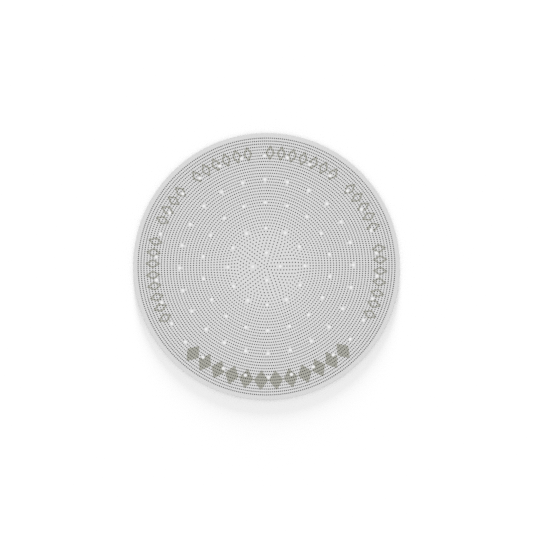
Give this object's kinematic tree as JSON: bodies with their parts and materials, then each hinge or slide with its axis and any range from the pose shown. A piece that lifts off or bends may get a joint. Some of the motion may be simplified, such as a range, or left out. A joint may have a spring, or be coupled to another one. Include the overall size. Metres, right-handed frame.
{
  "type": "espresso puck screen",
  "caption": "Thin round etched steel screen with rings of fine holes, a plain rim and raised dots, laid on the coffee in a filter basket.",
  "frame": {"origin": "centre of the plain back face, which the screen rests on", "axes": "+Z out of the face with the raised dots; +X to the right and +Y up as the picture shows that face; a hole of every ring lies on +X and a dot of every dot ring on +Y"},
  "size_m": [0.0584, 0.0584, 0.0008],
  "materials": {
    "stainless_steel": "fine satin"
  },
  "bodies": {
    "root": {"puck_screen": "stainless_steel"}
  },
  "joints": []
}
